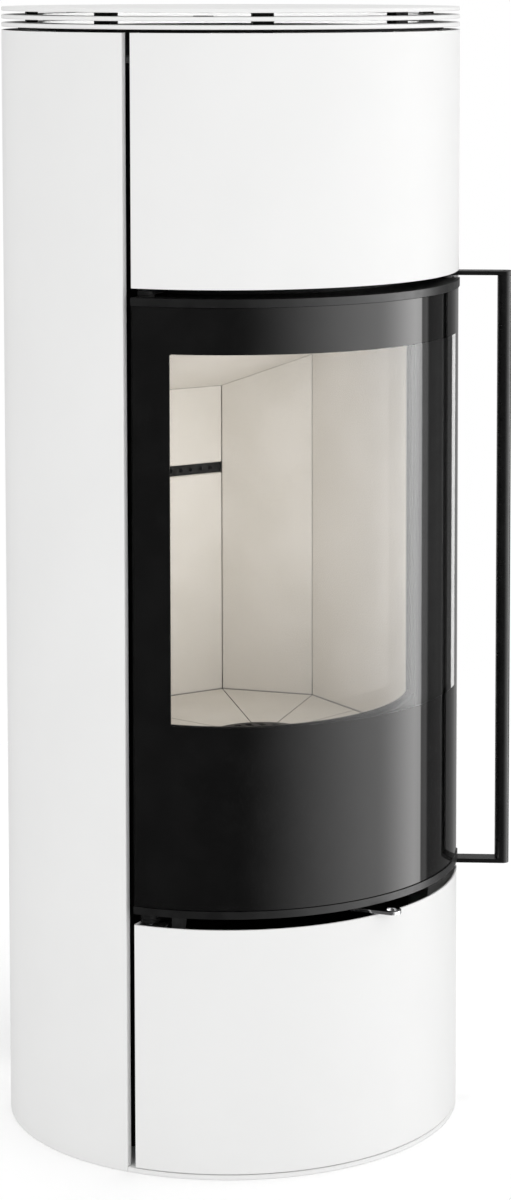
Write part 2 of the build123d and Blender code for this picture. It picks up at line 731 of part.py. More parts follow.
with BuildPart() as vent_plate_lower:
    with BuildSketch(Plane.XY.offset(vent_lower)):
        Circle(clad_radius)
        Circle(vent_hole, mode=Mode.SUBTRACT)
    extrude(amount=plate_thick)
    chamfer(vent_plate_lower.edges().sort_by(SortBy.LENGTH)[-2:], plate_edge_break)

with BuildPart() as vent_plate_upper:
    with BuildSketch(Plane.XY.offset(vent_upper)):
        Circle(clad_radius)
        Circle(vent_hole, mode=Mode.SUBTRACT)
    extrude(amount=plate_thick)
    chamfer(vent_plate_upper.edges().sort_by(SortBy.LENGTH)[-2:], plate_edge_break)

with BuildPart() as top_plate:
    with BuildSketch(Plane.XY.offset(crown_top_plate)):
        Circle(clad_radius)
    extrude(amount=plate_thick)
    chamfer(top_plate.edges().filter_by(GeomType.CIRCLE), plate_edge_break)

with BuildPart() as crown_spacers:
    for level in (vent_lower + plate_thick, vent_upper + plate_thick):
        with BuildSketch(Plane.XY.offset(level)):
            with PolarLocations(clad_radius - spacer_inset, spacer_count, start_angle=180 / spacer_count):
                Rectangle(spacer_width, spacer_length)
        extrude(amount=plate_gap)

# ================================================================ stove door
handle_screw_circle = (handle_arm_root + clad_radius - glass_thick) / 2
handle_root = plan(handle_screw_circle, handle_angle)
handle_grip = plan(handle_bar_radius, handle_angle)

with BuildPart() as door_bottom_rim:
    with BuildSketch(Plane.XY.offset(door_bottom)):
        RingSector(frame_inner, clad_radius + rim_proud, -front_half_angle, front_half_angle)
        with Locations(hinge_point):
            Circle(pin_radius + pin_clearance, mode=Mode.SUBTRACT)
        with Locations(handle_root):
            Circle(handle_screw + pin_clearance, mode=Mode.SUBTRACT)
    extrude(amount=rim_sheet)
    with BuildSketch(Plane.XY.offset(door_bottom)):
        RingSector(clad_radius - glass_thick, clad_radius + rim_proud, -front_half_angle, front_half_angle)
    extrude(amount=bottom_rim_height)

with BuildPart() as door_top_rim:
    with BuildSketch(Plane.XY.offset(door_top - rim_sheet)):
        RingSector(frame_inner, clad_radius + rim_proud, -front_half_angle, front_half_angle)
        with Locations(hinge_point):
            Circle(pin_radius + pin_clearance, mode=Mode.SUBTRACT)
        with Locations(handle_root):
            Circle(handle_screw + pin_clearance, mode=Mode.SUBTRACT)
    extrude(amount=rim_sheet)
    with BuildSketch(Plane.XY.offset(glass_top)):
        RingSector(clad_radius - glass_thick, clad_radius + rim_proud, -front_half_angle, front_half_angle)
    extrude(amount=top_rim_height)
    with BuildSketch(Plane.XY.offset(lintel_bottom)):
        RingSector(frame_inner, frame_inner + frame_sheet, -casing_half_angle, casing_half_angle)
    extrude(amount=door_top - lintel_bottom)

lower_arm = lower_top + foot_gap
upper_arm = upper_bottom - hinge_headroom - hinge_arm_thick
stile_bottom = door_bottom + rim_sheet
stile_top = door_top - rim_sheet

with BuildPart() as door_stile_right:
    with BuildSketch(Plane.XY.offset(stile_bottom)):
        RingSector(frame_inner, frame_inner + frame_sheet, casing_half_angle, stile_end)
        RingSector(frame_outer - frame_sheet, frame_outer, casing_half_angle, stile_end)
        RingSector(frame_inner, frame_outer, stile_end - arc_angle(frame_sheet, frame_outer), stile_end)
    extrude(amount=stile_top - stile_bottom)

with BuildPart() as door_stile_left:
    mirror(door_stile_right.part, about=Plane.YZ)

with BuildPart() as door_lower_panel:
    with BuildSketch(Plane.XY.offset(stile_bottom)):
        RingSector(frame_inner, frame_inner + frame_sheet, -casing_half_angle, casing_half_angle)
    extrude(amount=lower_panel_top - stile_bottom)
    with BuildSketch(Plane.XY.offset(glass_ledge - frame_sheet)):
        RingSector(frame_inner, frame_inner + 2 * frame_sheet + glass_thick,
                   -casing_half_angle, casing_half_angle)
    extrude(amount=frame_sheet)

with BuildPart() as door_glass:
    with BuildSketch(Plane.XY.offset(glass_bottom)):
        RingSector(clad_radius - glass_thick, clad_radius, -front_half_angle, front_half_angle)
    extrude(amount=glass_height)

with BuildPart() as inner_glass:
    inner_face = frame_inner + frame_sheet + glass_seat
    inner_glass_angle = casing_half_angle + inner_glass_bearing
    with BuildSketch(Plane.XY.offset(glass_ledge)):
        RingSector(inner_face, inner_face + glass_thick, -inner_glass_angle, inner_glass_angle)
    extrude(amount=inner_glass_top - glass_ledge)

# Flat rope in four lengths around the opening, between the door frame and the casing.
with BuildPart() as door_gasket:
    gasket_start = casing_half_angle + gasket_gap
    gasket_end = gasket_start + arc_angle(gasket_width, casing_radius)
    rope = (casing_radius + gasket_gap, frame_inner)
    low_rope = lower_panel_top - gasket_width
    high_rope = lintel_bottom + gasket_gap
    for level in (low_rope, high_rope):
        with BuildSketch(Plane.XY.offset(level)):
            RingSector(*rope, -gasket_end, gasket_end)
        extrude(amount=gasket_width)
    with BuildSketch(Plane.XY.offset(low_rope)):
        RingSector(*rope, gasket_start, gasket_end)
        RingSector(*rope, -gasket_end, -gasket_start)
    extrude(amount=high_rope - low_rope)

with BuildPart() as door_hinge_bushes:
    for bottom, top in ((lower_arm + hinge_arm_thick + hinge_gap, door_bottom),
                        (door_top, upper_arm - hinge_gap)):
        with BuildSketch(Plane.XY.offset(bottom)):
            with Locations(hinge_point):
                Circle(knuckle_radius)
                Circle(pin_radius + pin_clearance, mode=Mode.SUBTRACT)
        extrude(amount=top - bottom)

# ================================================================ hinge brackets and pins
with BuildPart() as hinge_brackets:
    for level in (lower_arm, upper_arm):
        with BuildSketch(Plane.XY.offset(level)):
            RadialBar(casing_inner, hinge_radius, 2 * knuckle_radius, hinge_angle)
            with Locations(hinge_point):
                Circle(knuckle_radius)
                Circle(pin_radius + pin_clearance, mode=Mode.SUBTRACT)
            Circle(casing_radius, mode=Mode.SUBTRACT)
        extrude(amount=hinge_arm_thick)

with BuildPart() as hinge_pins:
    for bottom, top in ((0, lower_bottom + lower_pin_length),
                        (lower_top - lower_pin_length, door_bottom + pin_length),
                        (door_top - pin_length, upper_arm + hinge_arm_thick)):
        with BuildSketch(Plane.XY.offset(bottom)):
            with Locations(hinge_point):
                Circle(pin_radius)
        extrude(amount=top - bottom)

# ================================================================ bow handle
handle_top_arm = door_top + handle_top_spacer
handle_bottom_arm = door_bottom - handle_arm_thick

with BuildPart() as handle_arms:
    for level in (handle_top_arm, handle_bottom_arm):
        with BuildSketch(Plane.XY.offset(level)):
            RadialBar(handle_arm_root, handle_bar_radius, handle_arm_width, handle_angle)
            with PolarLocations(handle_bar_radius, 1, start_angle=handle_angle - 90):
                RectangleRounded(handle_bar_depth, handle_arm_width, handle_bar_round)
            with Locations(handle_root, handle_grip):
                Circle(handle_screw + pin_clearance, mode=Mode.SUBTRACT)
        extrude(amount=handle_arm_thick)
    with BuildSketch(Plane.XY.offset(door_top)):
        with Locations(handle_root):
            Circle(handle_arm_width / 2)
            Circle(handle_screw + pin_clearance, mode=Mode.SUBTRACT)
    extrude(amount=handle_top_spacer)
    with BuildSketch(Plane.XY.offset(handle_top_arm + handle_arm_thick)):
        with Locations(handle_root, handle_grip):
            Circle(handle_screw_head + pin_clearance)
    extrude(amount=-handle_screw_head_height, mode=Mode.SUBTRACT)
    with BuildSketch(Plane.XY.offset(handle_bottom_arm)):
        with Locations(handle_root, handle_grip):
            Circle(handle_screw_head + pin_clearance)
    extrude(amount=handle_screw_head_height, mode=Mode.SUBTRACT)

with BuildPart() as handle_bar:
    with BuildSketch(Plane.XY.offset(door_bottom)):
        with PolarLocations(handle_bar_radius, 1, start_angle=handle_angle - 90):
            RectangleRounded(handle_bar_depth, handle_bar_width, handle_bar_round)
    extrude(amount=handle_top_arm - door_bottom)
    for level, depth in ((door_bottom, handle_screw_depth), (handle_top_arm, -handle_screw_depth)):
        with BuildSketch(Plane.XY.offset(level)):
            with Locations(handle_grip):
                Circle(handle_screw + pin_clearance)
        extrude(amount=depth, mode=Mode.SUBTRACT)

# Flush-headed screws: each row gives the head's outer face, the way in, and where the tip ends.
with BuildPart() as handle_screws:
    for point, face, way, tip in (
        (handle_root, handle_top_arm + handle_arm_thick, -1, door_top - rim_sheet),
        (handle_grip, handle_top_arm + handle_arm_thick, -1, handle_top_arm - handle_screw_depth),
        (handle_root, handle_bottom_arm, 1, door_bottom + rim_sheet),
        (handle_grip, handle_bottom_arm, 1, door_bottom + handle_screw_depth),
    ):
        with BuildSketch(Plane.XY.offset(face)):
            with Locations(point):
                Circle(handle_screw_head)
        extrude(amount=way * handle_screw_head_height)
        with BuildSketch(Plane.XY.offset(face)):
            with Locations(point):
                Circle(handle_screw)
        extrude(amount=tip - face)

# ================================================================ air lever
with BuildPart() as lever_bracket:
    with BuildSketch(Plane.XY.offset(lever_bracket_bottom)):
        Circle(casing_radius + lever_bracket_overhang)
        with Locations((0, lever_bracket_depth - casing_radius - lever_bracket_overhang)):
            Rectangle(lever_bracket_width, clad_radius, align=(Align.CENTER, Align.MAX), mode=Mode.INTERSECT)
        with Locations((0, lever_pivot_y)):
            Circle(lever_pin + pin_clearance, mode=Mode.SUBTRACT)
            with PolarLocations(port_circle, 3, start_angle=90 - port_pitch, angular_range=3 * port_pitch):
                Circle(port_radius, mode=Mode.SUBTRACT)
    extrude(amount=lever_bracket_thick)

with BuildPart() as lever_pivot:
    with BuildSketch(Plane.XY.offset(lever_bottom - bearing_gap)):
        with Locations((0, lever_pivot_y)):
            Circle(lever_pin)
    extrude(amount=bay_floor_height - lever_bottom + bearing_gap)
    with BuildSketch(Plane.XY.offset(lever_bottom - bearing_gap)):
        with Locations((0, lever_pivot_y)):
            Circle(lever_pin_head)
    extrude(amount=-lever_pin_head_height)

with BuildPart() as air_lever:
    with BuildSketch(Plane.XY.offset(lever_bottom)):
        with Locations((0, lever_pivot_y)):
            with PolarLocations(0, 1, start_angle=lever_rest_angle - 90):
                with Locations((lever_length / 2, 0)):
                    SlotCenterToCenter(lever_length, lever_width)
                Circle(lever_eye)
                Circle(lever_pin + pin_clearance, mode=Mode.SUBTRACT)
                with Locations((lever_length, 0)):
                    Circle(lever_hole, mode=Mode.SUBTRACT)
    extrude(amount=lever_thick)

# The damper fan turns with the lever under the bracket. Its ports meet the bracket's at rest.
with BuildPart() as air_damper:
    with BuildSketch(Plane((0, lever_pivot_y, damper_bottom))):
        fan_angle = lever_rest_angle + 180
        Circle(lever_eye)
        RingSector(lever_pin, damper_radius, fan_angle - damper_half_angle, fan_angle + damper_half_angle)
        Circle(lever_pin + pin_clearance, mode=Mode.SUBTRACT)
        with PolarLocations(port_circle, 3, start_angle=90 - port_pitch, angular_range=3 * port_pitch):
            Circle(port_radius, mode=Mode.SUBTRACT)
    extrude(amount=damper_thick)

# ================================================================ lower door
with BuildPart() as lower_door_panel:
    with BuildSketch(Plane.XY.offset(lower_bottom)):
        RingSector(clad_radius - clad_sheet, clad_radius, -front_half_angle, front_half_angle)
        for end in (-front_half_angle, front_half_angle - arc_angle(clad_sheet, clad_radius)):
            RingSector(clad_radius - lower_return, clad_radius, end, end + arc_angle(clad_sheet, clad_radius))
    extrude(amount=lower_door_height)
    fillet(lower_door_panel.edges().filter_by(Axis.Z).sort_by(Axis.X)[0], clad_edge_round)
    fillet(lower_door_panel.edges().filter_by(Axis.Z).sort_by(Axis.X)[-1], clad_edge_round)

# Pivot ears behind the panel, and the striker that the magnet holds.
with BuildPart() as lower_door_fittings:
    fold = front_half_angle - arc_angle(clad_sheet, clad_radius)
    for level in (lower_bottom + clad_sheet, lower_top - clad_sheet - ear_thick):
        with BuildSketch(Plane.XY.offset(level)):
            RingSector(clad_radius - ear_width, clad_radius - clad_sheet, -fold, ear_angle - fold)
            with Locations(hinge_point):
                Circle(pin_radius + pin_clearance, mode=Mode.SUBTRACT)
        extrude(amount=ear_thick)
    with BuildSketch(Plane.XY.offset(lower_bottom + magnet_rise)):
        RingSector(clad_radius - lower_return, clad_radius - lower_return + clad_sheet,
                   casing_half_angle, fold)
    extrude(amount=magnet_size)

# ================================================================ catches on the casing
with BuildPart() as magnet_catch:
    with BuildSketch(Plane.XY.offset(lower_bottom + magnet_rise)):
        RingSector(casing_radius, clad_radius - lower_return - magnet_gap,
                   casing_half_angle, casing_half_angle + magnet_angle)
    extrude(amount=magnet_size)

with BuildPart() as door_catch:
    catch_start = front_half_angle + catch_gap
    with BuildSketch(Plane.XY.offset(glass_bottom + catch_rise)):
        RingSector(casing_radius, casing_radius + catch_reach, catch_start,
                   catch_start + arc_angle(catch_thick, casing_radius))
    extrude(amount=catch_size)
    with BuildSketch(Plane.XY.offset(glass_bottom + catch_rise + (catch_size - catch_nose_height) / 2)):
        with Locations(plan(casing_radius + catch_reach - catch_nose, catch_start)):
            Circle(catch_nose)
    extrude(amount=catch_nose_height)

# ================================================================ export
pieces = {
    "base_plate": base_plate,
    "levelling_screws": levelling_screws,
    "casing_left": casing_left,
    "casing_right": casing_right,
    "casing_rear": casing_rear,
    "casing_front_upper": casing_front_upper,
    "sill_plate": sill_plate,
    "apron_plate": apron_plate,
    "bay_floor": bay_floor,
    "firebox_floor_plate": firebox_floor_plate,
    "casing_top_plate": casing_top_plate,
    "smoke_shelf": smoke_shelf,
    "back_brick_lower": back_brick_lower,
    "back_brick_upper": back_brick_upper,
    "corner_brick_left": corner_brick_left,
    "corner_brick_right": corner_brick_right,
    "side_brick_left": side_brick_left,
    "side_brick_right": side_brick_right,
    "floor_bricks": floor_bricks,
    "baffle_plate": baffle_plate,
    "grate": grate,
    "rear_air_bar": rear_air_bar,
    "rear_air_duct": rear_air_duct,
    "ash_pan": ash_pan,
    "flue_spigot": flue_spigot,
    "air_inlet": air_inlet,
    "side_panel_left": side_panel_left,
    "side_panel_right": side_panel_right,
    "upper_front_panel": upper_front_panel,
    "panel_brackets": panel_brackets,
    "rear_panel": rear_panel,
    "rear_screws": rear_screws,
    "crown_frame": crown_frame,
    "vent_plate_lower": vent_plate_lower,
    "vent_plate_upper": vent_plate_upper,
    "top_plate": top_plate,
    "crown_spacers": crown_spacers,
    "hinge_brackets": hinge_brackets,
    "hinge_pins": hinge_pins,
    "door_catch": door_catch,
    "magnet_catch": magnet_catch,
    "lever_bracket": lever_bracket,
    "lever_pivot": lever_pivot,
    "door_bottom_rim": door_bottom_rim,
    "door_top_rim": door_top_rim,
    "door_stile_left": door_stile_left,
    "door_stile_right": door_stile_right,
    "door_lower_panel": door_lower_panel,
    "door_glass": door_glass,
    "inner_glass": inner_glass,
    "door_gasket": door_gasket,
    "door_hinge_bushes": door_hinge_bushes,
    "handle_bar": handle_bar,
    "handle_arms": handle_arms,
    "handle_screws": handle_screws,
    "lower_door_panel": lower_door_panel,
    "lower_door_fittings": lower_door_fittings,
    "air_lever": air_lever,
    "air_damper": air_damper,
}

for name, piece in pieces.items():
    piece.part.label = name
    export_step(piece.part, f"parts/{name}.step")
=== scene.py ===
"""The looks of a tall round wood stove: enamelled shell, curved glazed door, brick lined firebox."""

import json
import math

import bmesh
import bpy
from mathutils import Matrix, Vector

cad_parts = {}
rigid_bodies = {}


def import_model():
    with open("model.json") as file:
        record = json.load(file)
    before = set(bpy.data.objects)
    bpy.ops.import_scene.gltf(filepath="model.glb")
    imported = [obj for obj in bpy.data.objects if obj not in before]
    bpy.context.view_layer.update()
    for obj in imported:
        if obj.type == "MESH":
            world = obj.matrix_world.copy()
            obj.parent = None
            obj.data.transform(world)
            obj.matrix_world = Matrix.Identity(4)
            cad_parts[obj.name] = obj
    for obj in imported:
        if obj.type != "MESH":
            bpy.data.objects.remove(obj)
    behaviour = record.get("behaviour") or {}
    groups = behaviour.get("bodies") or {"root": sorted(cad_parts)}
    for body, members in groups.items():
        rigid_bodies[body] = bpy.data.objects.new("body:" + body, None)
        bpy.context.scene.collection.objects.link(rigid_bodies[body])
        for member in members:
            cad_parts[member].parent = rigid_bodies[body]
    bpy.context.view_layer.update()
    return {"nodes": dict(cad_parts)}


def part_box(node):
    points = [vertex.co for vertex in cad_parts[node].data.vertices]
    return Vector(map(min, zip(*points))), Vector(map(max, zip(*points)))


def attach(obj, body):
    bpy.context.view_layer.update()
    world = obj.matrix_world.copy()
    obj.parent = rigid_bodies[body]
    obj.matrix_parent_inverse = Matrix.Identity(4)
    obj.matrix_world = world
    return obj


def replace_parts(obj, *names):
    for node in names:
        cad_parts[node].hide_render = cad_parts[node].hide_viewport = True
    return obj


for leftover in list(bpy.data.objects):
    bpy.data.objects.remove(leftover)

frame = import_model()
nodes = frame["nodes"]

# Sizes in metres, angles in degrees. Plan angles run from the front (-Y) towards +X.
mm = 0.001

# The door glass, and its printed border, a thin sheet just under the glass's outer face with a
# round-cornered window.
glass_low, glass_high = 288.5 * mm, 919.5 * mm
print_front, print_thick, print_half_angle = 249.5 * mm, 0.15 * mm, 55.3
window_low, window_high, window_half_angle = 482.7 * mm, 871.0 * mm, 46.0
window_corner = 3.0 * mm
window_corner_angle = math.degrees(window_corner / print_front)

hearth_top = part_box("floor_bricks")[1][2]


def plan(radius, angle, height=0.0):
    """The point at this radius and plan angle."""
    turn = math.radians(angle)
    return Vector((radius * math.sin(turn), -radius * math.cos(turn), height))


# ---------------------------------------------------------------- node trees
white = (1, 1, 1, 1)
noise_span = (0.3, 0.7)     # nearly all of a noise lies between these
bevel_samples = 6
mix_sockets = {"RGBA": (6, 7, 2), "FLOAT": (2, 3, 0)}    # first and second input, output


class Tree:
    """Adds shader nodes. A socket given as an input is linked, and anything else is set."""

    def __init__(self, owner):
        owner.use_nodes = True
        self.tree = owner.node_tree
        self.tree.nodes.clear()

    def add(self, kind, inputs=None, **settings):
        node = self.tree.nodes.new("ShaderNode" + kind)
        for name, value in settings.items():
            setattr(node, name, value)
        for name, value in (inputs or {}).items():
            if isinstance(value, bpy.types.NodeSocket):
                self.tree.links.new(value, node.inputs[name])
            else:
                node.inputs[name].default_value = value
        return node

    def math(self, operation, *values):
        return self.add("Math", dict(enumerate(values)), operation=operation).outputs[0]

    def product(self, first, *others):
        for other in others:
            first = self.math("MULTIPLY", first, other)
        return first

    def dot(self, first, second):
        inputs = {0: first, 1: second}
        return self.add("VectorMath", inputs, operation="DOT_PRODUCT").outputs["Value"]

    def parts(self, vector):
        """The x, y and z of a vector."""
        return self.add("SeparateXYZ", {"Vector": vector}).outputs

    def plan_turn(self, x, y):
        """The plan angle of a point, in radians."""
        return self.math("ARCTAN2", x, self.math("MULTIPLY", y, -1.0))

    def plan_reach(self, x, y):
        """A point's distance from the upright axis."""
        return self.math("SQRT", self.math("ADD", self.math("MULTIPLY", x, x),
                                           self.math("MULTIPLY", y, y)))

    def ramp(self, value, low, high, start=0.0, end=1.0):
        """start where value is below low, end where it is above high, smooth between."""
        inputs = {"Value": value, "From Min": low, "From Max": high, "To Min": start, "To Max": end}
        return self.add("MapRange", inputs, interpolation_type="SMOOTHSTEP").outputs["Result"]

    def place(self):
        """The object's own coordinates, in metres."""
        return self.add("TexCoord").outputs["Object"]

    def noise(self, scale, detail, roughness=0.5):
        """A noise with this many cells in a metre."""
        inputs = {"Vector": self.place(), "Scale": scale, "Detail": detail, "Roughness": roughness}
        return self.add("TexNoise", inputs).outputs["Fac"]

    def mix(self, share, first, second, kind="RGBA"):
        """The first colour or number where share is 0, the second where it is 1."""
        first_socket, second_socket, result = mix_sockets[kind]
        inputs = {"Factor": share, first_socket: first, second_socket: second}
        return self.add("Mix", inputs, data_type=kind).outputs[result]

    def tint(self, value, dark, light, span=noise_span):
        """A colour that runs from dark to light as value runs through the span."""
        return self.mix(self.ramp(value, *span), (*dark, 1), (*light, 1))

    def rounded(self, radius):
        """A normal that rounds every edge by this radius."""
        return self.add("Bevel", {"Radius": radius}, samples=bevel_samples).outputs["Normal"]

    def bump(self, height, distance, strength, normal=None):
        """A normal tilted by this height, on top of another normal if one is given."""
        inputs = {"Height": height, "Distance": distance, "Strength": strength}
        if normal is not None:
            inputs["Normal"] = normal
        return self.add("Bump", inputs).outputs["Normal"]

    def principled(self, **inputs):
        named = {name.replace("_", " "): value for name, value in inputs.items()}
        return self.add("BsdfPrincipled", named).outputs[0]

    def output(self, surface, kind="OutputMaterial"):
        self.add(kind, {"Surface": surface})


def new_material(name):
    material = bpy.data.materials.new(name)
    return material, Tree(material)


# ---------------------------------------------------------------- paint and metal
dark_span = (0.35, 0.7)     # keeps a little more of the surface dark than noise_span does


def grey(level):
    return (level, level, level)


def enamel():
    """White stove enamel: a soft orange peel, a breath of unevenness, edges where it draws back."""
    material, tree = new_material("enamel")
    colour = tree.tint(tree.noise(scale=9, detail=3), dark=(0.866, 0.866, 0.861),
                       light=(0.878, 0.878, 0.873))
    peel = tree.bump(tree.noise(scale=520, detail=3), distance=0.05 * mm, strength=0.35,
                     normal=tree.rounded(0.9 * mm))
    roughness = tree.ramp(tree.noise(scale=60, detail=4), *noise_span, start=0.46, end=0.54)
    tree.output(tree.principled(Base_Color=colour, Roughness=roughness, Normal=peel,
                                Specular_IOR_Level=0.2))
    return material


def paint(name, dark, light, rough, grain, depth, edge=0.4 * mm, sheen=0.5):
    """A heat-proof paint: a fine grain over the metal, and a little unevenness in colour."""
    material, tree = new_material(name)
    colour = tree.tint(tree.noise(scale=45, detail=4), dark, light, dark_span)
    normal = tree.bump(tree.noise(scale=grain, detail=3, roughness=0.6), distance=depth,
                       strength=0.5, normal=tree.rounded(edge))
    roughness = tree.ramp(tree.noise(scale=140, detail=3), *noise_span, *rough)
    tree.output(tree.principled(Base_Color=colour, Roughness=roughness, Normal=normal,
                                Specular_IOR_Level=sheen))
    return material


def metal(name, dark, light, rough, grain, depth, edge=0.3 * mm):
    """Bare or plated metal with a fine grain."""
    material, tree = new_material(name)
    colour = tree.tint(tree.noise(scale=160, detail=4), dark, light)
    normal = tree.bump(tree.noise(scale=grain, detail=3), distance=depth, strength=0.4,
                       normal=tree.rounded(edge))
    roughness = tree.ramp(tree.noise(scale=220, detail=4), *noise_span, *rough)
    tree.output(tree.principled(Base_Color=colour, Metallic=1.0, Roughness=roughness,
                                Normal=normal))
    return material


# ---------------------------------------------------------------- firebox lining
flake_colour, flake_share = (0.84, 0.8, 0.71), 0.22
flake_scale, grain_share = 420.0, 0.6    # flakes in a metre, and the grain's height by theirs
flake_fade = (0.1, 0.6)                  # from a flake's middle to its rim, in flakes
brick_edge = 1.4 * mm                    # how far an edge is rounded
# Painted shade: a dark colour laid over the board along its edges and at the foot of its walls.
painted_shade_colour, painted_shade_share = (0.1, 0.095, 0.09), 0.85
edge_fade = (0.8, 0.985)                 # cosines of the lean, from an edge to the flat face
upward_fade, upward_painted_shade = (0.5, 0.9), 0.4       # faces that look up get less painted shade
foot_reach, foot_fade = 4.0 * mm, (0.5, 0.8)     # painted shade at a wall's foot, by how sheltered it is
foot_low, foot_high = hearth_top + 10 * mm, hearth_top + 30 * mm


def vermiculite():
    """Pressed vermiculite board: pale flakes in a sandy binder, painted shade along its edges and at
    its foot.
    """
    material, tree = new_material("vermiculite")
    flakes = {"Vector": tree.place(), "Scale": flake_scale, "Randomness": 1.0}
    from_middle = tree.add("TexVoronoi", flakes).outputs["Distance"]
    binder = tree.tint(tree.noise(scale=14, detail=3), dark=(0.645, 0.615, 0.567),
                       light=(0.695, 0.665, 0.622))
    flake = tree.math("MULTIPLY", tree.ramp(from_middle, *flake_fade, 1.0, 0.0), flake_share)
    board = tree.mix(flake, binder, (*flake_colour, 1))

    soft = tree.rounded(brick_edge)
    flat = tree.add("NewGeometry").outputs["True Normal"]
    lean = tree.dot(soft, flat)
    # Painted shade along every edge, where bricks meet and at their outer edges, weaker on faces
    # that look up.
    edge_painted_shade = tree.math("MULTIPLY", tree.ramp(lean, *edge_fade, painted_shade_share, 0.0),
                          tree.ramp(tree.parts(flat)["Z"], *upward_fade, 1.0, upward_painted_shade))
    # Painted shade at a wall's foot, where ambient occlusion finds the hearth close by.
    shelter = tree.add("AmbientOcclusion", {"Distance": foot_reach}).outputs["AO"]
    height = tree.parts(tree.place())["Z"]
    foot_painted_shade = tree.math("MULTIPLY", tree.ramp(shelter, *foot_fade, painted_shade_share, 0.0),
                          tree.ramp(height, foot_low, foot_high, 1.0, 0.0))
    painted_shade = tree.math("MAXIMUM", edge_painted_shade, foot_painted_shade)
    colour = tree.mix(painted_shade, board, (*painted_shade_colour, 1))

    grain = tree.math("MULTIPLY", tree.noise(scale=900, detail=4), grain_share)
    normal = tree.bump(tree.math("ADD", from_middle, grain), distance=0.25 * mm, strength=0.35,
                       normal=soft)
    tree.output(tree.principled(Base_Color=colour, Roughness=0.88, Normal=normal,
                                Specular_IOR_Level=0.25))
    return material


# ---------------------------------------------------------------- glass
glass_ior = 1.5
glass_rough = 0.02
inner_shine = 0.25          # how much of a bare sheet's mirror the inner glass keeps
far_surface_loss = 0.8      # how much less a sheet's far surface mirrors than its near one


def glass_ripple(tree):
    """The slow waves of rolled glass."""
    return tree.bump(tree.noise(scale=7, detail=1), distance=0.6 * mm, strength=0.02)


def mirror_share(tree, normal):
    """How much a bare glass surface mirrors, by the slope it is seen at: Fresnel's law."""
    # At a blend of a half, Facing is 1 less the cosine outside the glass.
    facing = tree.add("LayerWeight", {"Blend": 0.5, "Normal": normal}).outputs["Facing"]
    outside = tree.math("SUBTRACT", 1.0, facing)
    inside = tree.math("SQRT", tree.math("ADD", tree.math("MULTIPLY", outside, outside),
                                         glass_ior * glass_ior - 1.0))
    total, gap = tree.math("ADD", inside, outside), tree.math("SUBTRACT", inside, outside)
    across = tree.math("DIVIDE", gap, total)
    along = tree.math("DIVIDE", tree.math("SUBTRACT", tree.math("MULTIPLY", outside, total), 1.0),
                      tree.math("ADD", tree.math("MULTIPLY", outside, gap), 1.0))
    share = tree.math("MULTIPLY", tree.math("MULTIPLY", across, across),
                      tree.math("ADD", tree.math("MULTIPLY", along, along), 1.0))
    return tree.math("MULTIPLY", share, 0.5)


def unprinted(tree):
    """1 in the door glass's window and at its bare upright edges, 0 where the print lies behind."""
    x, y, z = tree.parts(tree.place())
    angle = tree.math("ABSOLUTE", tree.math("DEGREES", tree.plan_turn(x, y)))
    window = tree.product(tree.math("LESS_THAN", angle, window_half_angle),
                          tree.math("GREATER_THAN", z, window_low),
                          tree.math("LESS_THAN", z, window_high))
    return tree.math("MAXIMUM", window, tree.math("GREATER_THAN", angle, print_half_angle))


def clear_glass(name, tint, shine=1.0, where=None):
    """A thin sheet of clear glass ceramic: it mirrors by angle and lets the rest through."""
    material, tree = new_material(name)
    ripple = glass_ripple(tree)
    far_surface = tree.add("NewGeometry").outputs["Backfacing"]
    kept = tree.math("SUBTRACT", 1.0, tree.math("MULTIPLY", far_surface, far_surface_loss))
    mirror = tree.product(mirror_share(tree, ripple), shine, kept)
    if where:
        mirror = tree.math("MULTIPLY", mirror, where(tree))
    through = tree.add("BsdfTransparent", {"Color": (*tint, 1)}).outputs[0]
    gloss = tree.add("BsdfGlossy", {"Color": white, "Roughness": glass_rough, "Normal": ripple})
    mixed = tree.add("MixShader", {0: mirror, 1: through, 2: gloss.outputs[0]})
    tree.output(mixed.outputs[0])
    return material


def glass_print():
    """The black border of the door glass, with the shine of the glass that covers it."""
    material, tree = new_material("glass_print")
    colour = tree.tint(tree.noise(scale=30, detail=3), dark=grey(0.002), light=grey(0.004),
                       span=dark_span)
    tree.output(tree.principled(Base_Color=colour, Roughness=glass_rough,
                                Normal=glass_ripple(tree)))
    return material


# ---------------------------------------------------------------- gasket
strand_radius, strand_pitch, strand_depth = 200.0 * mm, 1.3 * mm, 0.15 * mm


def rope():
    """A braided glass-fibre cord: two sets of strands that cross on a slant."""
    material, tree = new_material("gasket_rope")
    x, y, z = tree.parts(tree.place())
    run = tree.math("ADD", tree.math("MULTIPLY", tree.plan_turn(x, y), strand_radius), z)
    depth = tree.plan_reach(x, y)
    strands = []
    for way in (1.0, -1.0):
        slant = tree.math("ADD", tree.math("MULTIPLY", run, way), depth)
        wave = tree.math("SINE", tree.math("MULTIPLY", slant, 2 * math.pi / strand_pitch))
        strands.append(tree.math("ABSOLUTE", wave))
    height = tree.math("MAXIMUM", *strands)
    # The colour is darker down in the grooves and lighter on the strands' crests: painted shade.
    colour = tree.tint(height, dark=grey(0.012), light=(0.07, 0.068, 0.065), span=(0.3, 1.0))
    normal = tree.bump(height, distance=strand_depth, strength=0.6)
    tree.output(tree.principled(Base_Color=colour, Roughness=0.9, Normal=normal))
    return material


